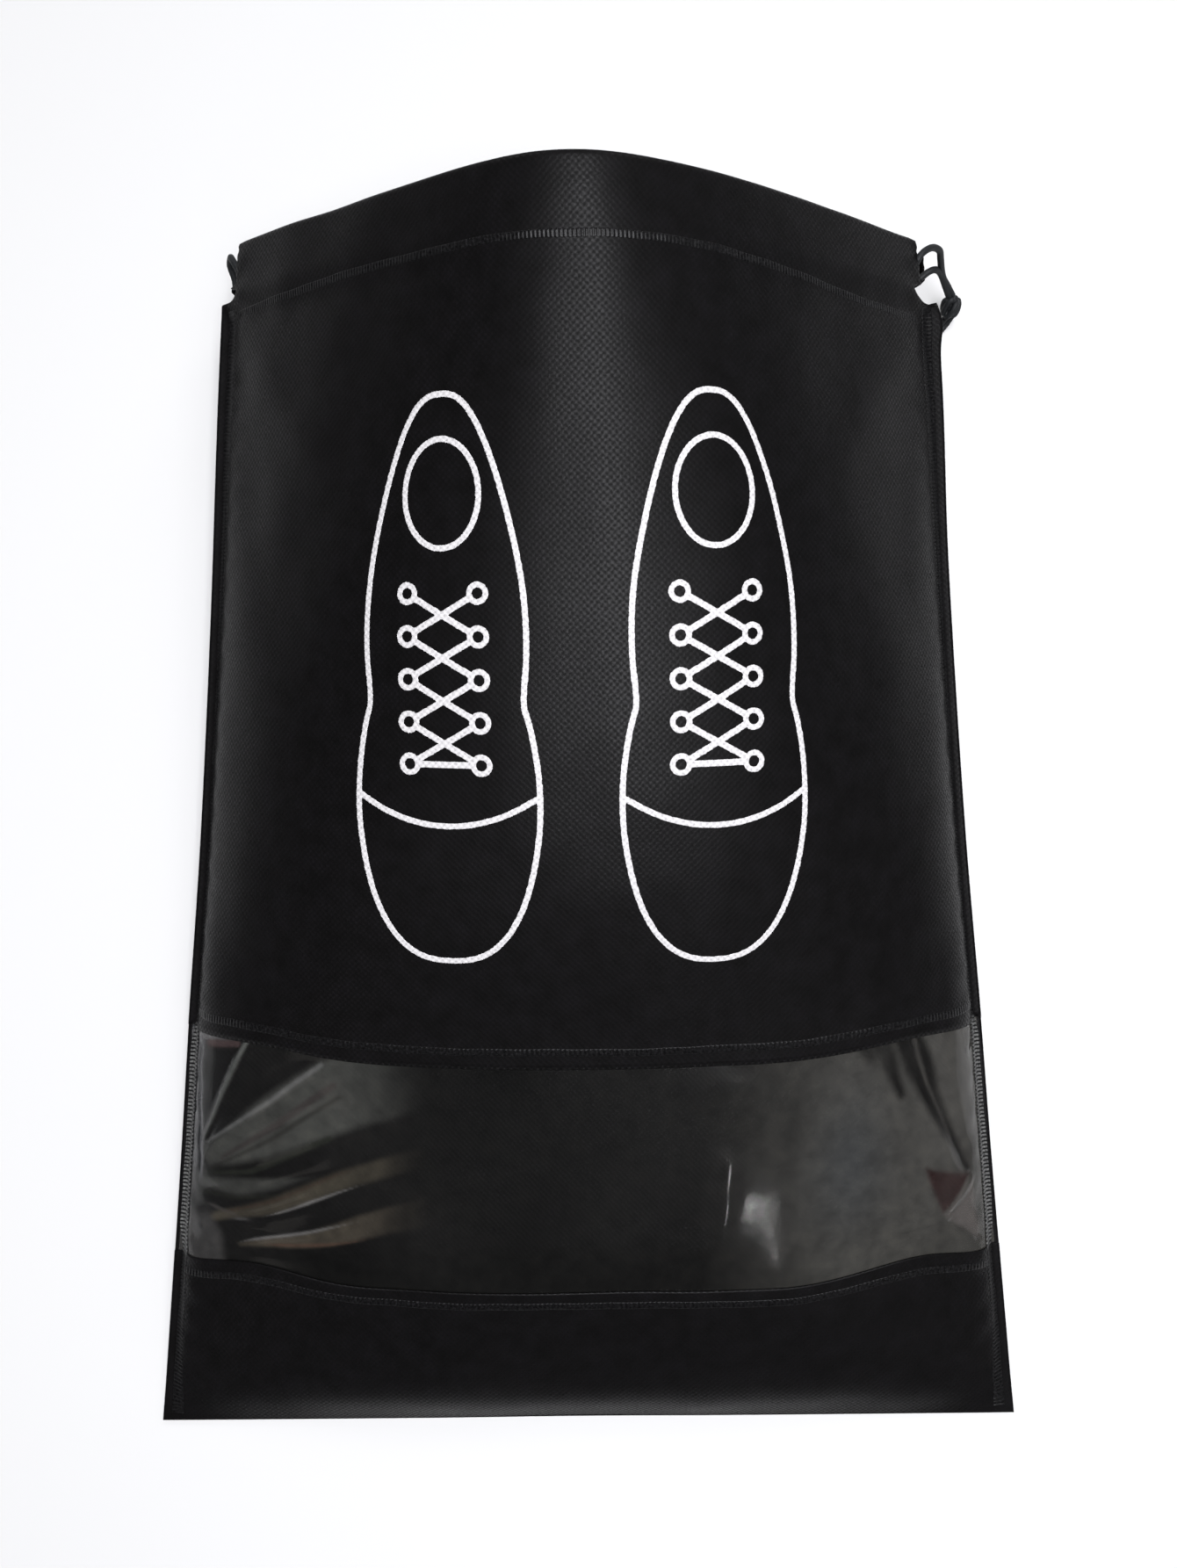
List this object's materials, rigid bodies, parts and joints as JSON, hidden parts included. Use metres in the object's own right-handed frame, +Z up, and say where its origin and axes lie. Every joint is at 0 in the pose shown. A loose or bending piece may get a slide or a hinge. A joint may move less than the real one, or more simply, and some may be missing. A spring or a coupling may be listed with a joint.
{
  "type": "drawstring shoe bag",
  "caption": "Soft drawstring shoe bag of black non-woven fabric with a clear film window, a printed shoe outline and a knotted cord that draws the open mouth in.",
  "frame": {"origin": "centre of the bag's box at the surface that it lies on", "axes": "+Y from the bottom fold towards the open mouth, +X to the right as seen from above with the printed front up, +Z up out of the front"},
  "size_m": [0.32, 0.4402, 0.1221],
  "materials": {
    "fabric_front": "black spunbond non-woven with a fine embossed diamond pattern",
    "fabric_back": "black spunbond non-woven with a fine embossed diamond pattern",
    "weld": "black non-woven pressed into rows of short weld bars",
    "clear_film": "clear soft plastic film, glossy and slightly wrinkled",
    "print_ink": "off-white matt screen-print ink",
    "cord": "black braided polyester cord"
  },
  "bodies": {
    "bag": {"back_panel": "fabric_back", "lower_band": "fabric_front", "window_film": "clear_film", "front_upper_panel": "fabric_front", "front_channel": "fabric_front", "rear_channel": "fabric_back", "left_side_seam": "weld", "right_side_seam": "weld", "window_top_seam": "weld", "window_bottom_seam": "weld", "front_hem_seam": "weld", "rear_hem_seam": "weld", "print_left_shoe": "print_ink", "print_right_shoe": "print_ink"},
    "drawstring": {"drawstring_front_run": "cord", "drawstring_rear_run": "cord", "drawstring_left_bight": "cord", "drawstring_front_strand": "cord", "drawstring_rear_strand": "cord", "drawstring_knot": "cord", "drawstring_tails": "cord"}
  },
  "joints": [
    {"name": "drawstring_pull", "type": "slide", "parent": "bag", "child": "drawstring", "axis": [1, 0, 0], "range_m": [0, 0.09], "deforming": ["drawstring_front_run", "drawstring_rear_run", "drawstring_left_bight", "drawstring_front_strand", "drawstring_rear_strand"]}
  ]
}
